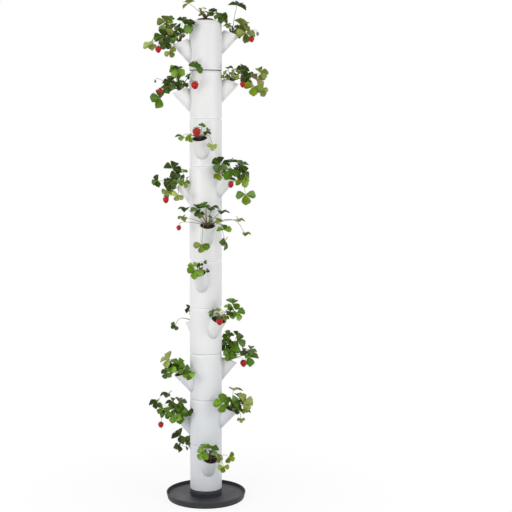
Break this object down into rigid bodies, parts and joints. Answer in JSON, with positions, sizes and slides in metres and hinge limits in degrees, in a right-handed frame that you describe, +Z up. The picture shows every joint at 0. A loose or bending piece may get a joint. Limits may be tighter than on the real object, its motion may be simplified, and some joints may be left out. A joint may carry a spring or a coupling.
{
  "type": "strawberry planter tower",
  "caption": "Standing tower of stacked planting tiers with paired spout pockets full of strawberry plants, above a round water tray; each tier turns on the one below.",
  "frame": {"origin": "centre of the tray underside, on the floor", "axes": "+Z up along the tower axis; the picture looks along +Y, so -Y is the front and +X the right"},
  "size_m": [0.5272, 0.3755, 2.1382],
  "materials": {
    "tower_plastic": "satin white",
    "tray_plastic": "satin charcoal grey",
    "soil": "damp potting soil",
    "leaves": "living leaves",
    "fruit": "ripe strawberries"
  },
  "bodies": {
    "base": {"base_tray": "tray_plastic"},
    "tier_01_body": {"plant_01_high": "leaves", "plant_01_low": "leaves", "soil_01": "soil", "tier_01": "tower_plastic"},
    "tier_02_body": {"fruit_02_low": "fruit", "plant_02_high": "leaves", "plant_02_low": "leaves", "soil_02": "soil", "tier_02": "tower_plastic"},
    "tier_03_body": {"fruit_03_high": "fruit", "plant_03_high": "leaves", "plant_03_low": "leaves", "soil_03": "soil", "tier_03": "tower_plastic"},
    "tier_04_body": {"fruit_04_high": "fruit", "plant_04_high": "leaves", "plant_04_low": "leaves", "soil_04": "soil", "tier_04": "tower_plastic"},
    "tier_05_body": {"plant_05_high": "leaves", "plant_05_low": "leaves", "soil_05": "soil", "tier_05": "tower_plastic"},
    "tier_06_body": {"fruit_06_high": "fruit", "fruit_06_low": "fruit", "plant_06_high": "leaves", "plant_06_low": "leaves", "soil_06": "soil", "tier_06": "tower_plastic"},
    "tier_07_body": {"fruit_07_high": "fruit", "fruit_07_low": "fruit", "plant_07_high": "leaves", "plant_07_low": "leaves", "soil_07": "soil", "tier_07": "tower_plastic"},
    "tier_08_body": {"fruit_08_high": "fruit", "fruit_08_low": "fruit", "plant_08_high": "leaves", "plant_08_low": "leaves", "soil_08": "soil", "tier_08": "tower_plastic"},
    "tier_09_body": {"fruit_09_high": "fruit", "fruit_09_low": "fruit", "plant_09_high": "leaves", "plant_09_low": "leaves", "soil_09": "soil", "tier_09": "tower_plastic"},
    "tier_10_body": {"fruit_10_high": "fruit", "fruit_10_low": "fruit", "plant_10_high": "leaves", "plant_10_low": "leaves", "plant_10_top": "leaves", "soil_10": "soil", "tier_10": "tower_plastic"}
  },
  "joints": [
    {"name": "tier_01_turn", "type": "hinge", "parent": "base", "child": "tier_01_body", "pos_m": [0, 0, 0.044], "axis": [0, 0, 1], "continuous": true},
    {"name": "tier_02_turn", "type": "hinge", "parent": "tier_01_body", "child": "tier_02_body", "pos_m": [0, 0, 0.244], "axis": [0, 0, 1], "continuous": true},
    {"name": "tier_03_turn", "type": "hinge", "parent": "tier_02_body", "child": "tier_03_body", "pos_m": [0, 0, 0.444], "axis": [0, 0, 1], "continuous": true},
    {"name": "tier_04_turn", "type": "hinge", "parent": "tier_03_body", "child": "tier_04_body", "pos_m": [0, 0, 0.644], "axis": [0, 0, 1], "continuous": true},
    {"name": "tier_05_turn", "type": "hinge", "parent": "tier_04_body", "child": "tier_05_body", "pos_m": [0, 0, 0.844], "axis": [0, 0, 1], "continuous": true},
    {"name": "tier_06_turn", "type": "hinge", "parent": "tier_05_body", "child": "tier_06_body", "pos_m": [0, 0, 1.044], "axis": [0, 0, 1], "continuous": true},
    {"name": "tier_07_turn", "type": "hinge", "parent": "tier_06_body", "child": "tier_07_body", "pos_m": [0, 0, 1.244], "axis": [0, 0, 1], "continuous": true},
    {"name": "tier_08_turn", "type": "hinge", "parent": "tier_07_body", "child": "tier_08_body", "pos_m": [0, 0, 1.444], "axis": [0, 0, 1], "continuous": true},
    {"name": "tier_09_turn", "type": "hinge", "parent": "tier_08_body", "child": "tier_09_body", "pos_m": [0, 0, 1.644], "axis": [0, 0, 1], "continuous": true},
    {"name": "tier_10_turn", "type": "hinge", "parent": "tier_09_body", "child": "tier_10_body", "pos_m": [0, 0, 1.844], "axis": [0, 0, 1], "continuous": true}
  ]
}
